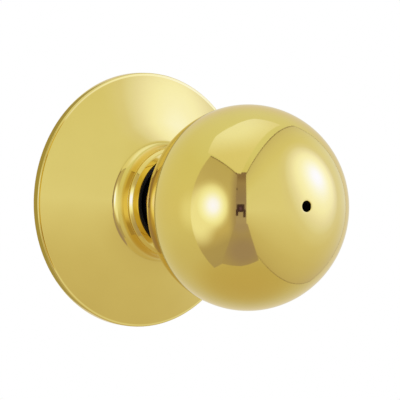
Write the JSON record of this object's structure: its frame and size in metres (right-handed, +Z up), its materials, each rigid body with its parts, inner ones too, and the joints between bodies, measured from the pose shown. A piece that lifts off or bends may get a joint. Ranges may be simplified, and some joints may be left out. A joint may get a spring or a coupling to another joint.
{
  "type": "door knob",
  "caption": "Polished brass ball door knob on a conical rose, with a release hole in its front, a sprung mechanism, a half-round spindle and threaded through-posts.",
  "frame": {"origin": "on the knob's axis, in the plane of the door face that the rose rests on", "axes": "+Y into the door along the spindle, -Y out of the door towards the user, +Z up, +X to the right as seen from in front of the knob"},
  "size_m": [0.0666, 0.1139, 0.0666],
  "materials": {
    "polished_brass": "polished and lacquered",
    "zinc_steel": "zinc plated",
    "black_steel": "black oxide, satin",
    "spring_steel": "oiled spring steel",
    "black_nylon": "moulded, satin",
    "white_nylon": "moulded, satin",
    "bearing_bronze": "sintered, satin"
  },
  "bodies": {
    "rose_set": {"rose": "polished_brass", "collar_ring": "polished_brass", "collar_bush": "black_nylon", "rose_liner": "white_nylon", "mounting_plate": "zinc_steel", "spring_cage": "zinc_steel", "cage_rivet_left": "zinc_steel", "cage_rivet_right": "zinc_steel", "hub": "zinc_steel", "hub_bush_front": "bearing_bronze", "hub_bush_rear": "bearing_bronze", "return_spring": "spring_steel", "post_upper": "zinc_steel", "post_lower": "zinc_steel"},
    "knob": {"knob_shell": "polished_brass", "knob_back": "polished_brass", "knob_support": "zinc_steel", "knob_shank": "black_steel", "front_guide": "black_nylon", "spindle_sleeve": "zinc_steel", "spindle_collar": "zinc_steel", "spindle": "zinc_steel", "spring_driver": "zinc_steel", "thrust_washer": "bearing_bronze", "retaining_ring": "spring_steel"},
    "release": {"release_rod": "zinc_steel", "release_plunger": "black_nylon", "rod_clip": "spring_steel", "release_spring": "spring_steel"}
  },
  "joints": [
    {"name": "knob_turn", "type": "hinge", "parent": "rose_set", "child": "knob", "pos_m": [0, 0, 0], "axis": [0, 1, 0], "range_deg": [-60, 60], "stiffness_Nm_per_rad": 0.3, "deforming": ["return_spring"]},
    {"name": "release_push", "type": "slide", "parent": "knob", "child": "release", "axis": [0, 1, 0], "range_m": [0, 0.005], "stiffness_N_per_m": 150, "springref_m": -0.003, "deforming": ["release_spring"]}
  ]
}
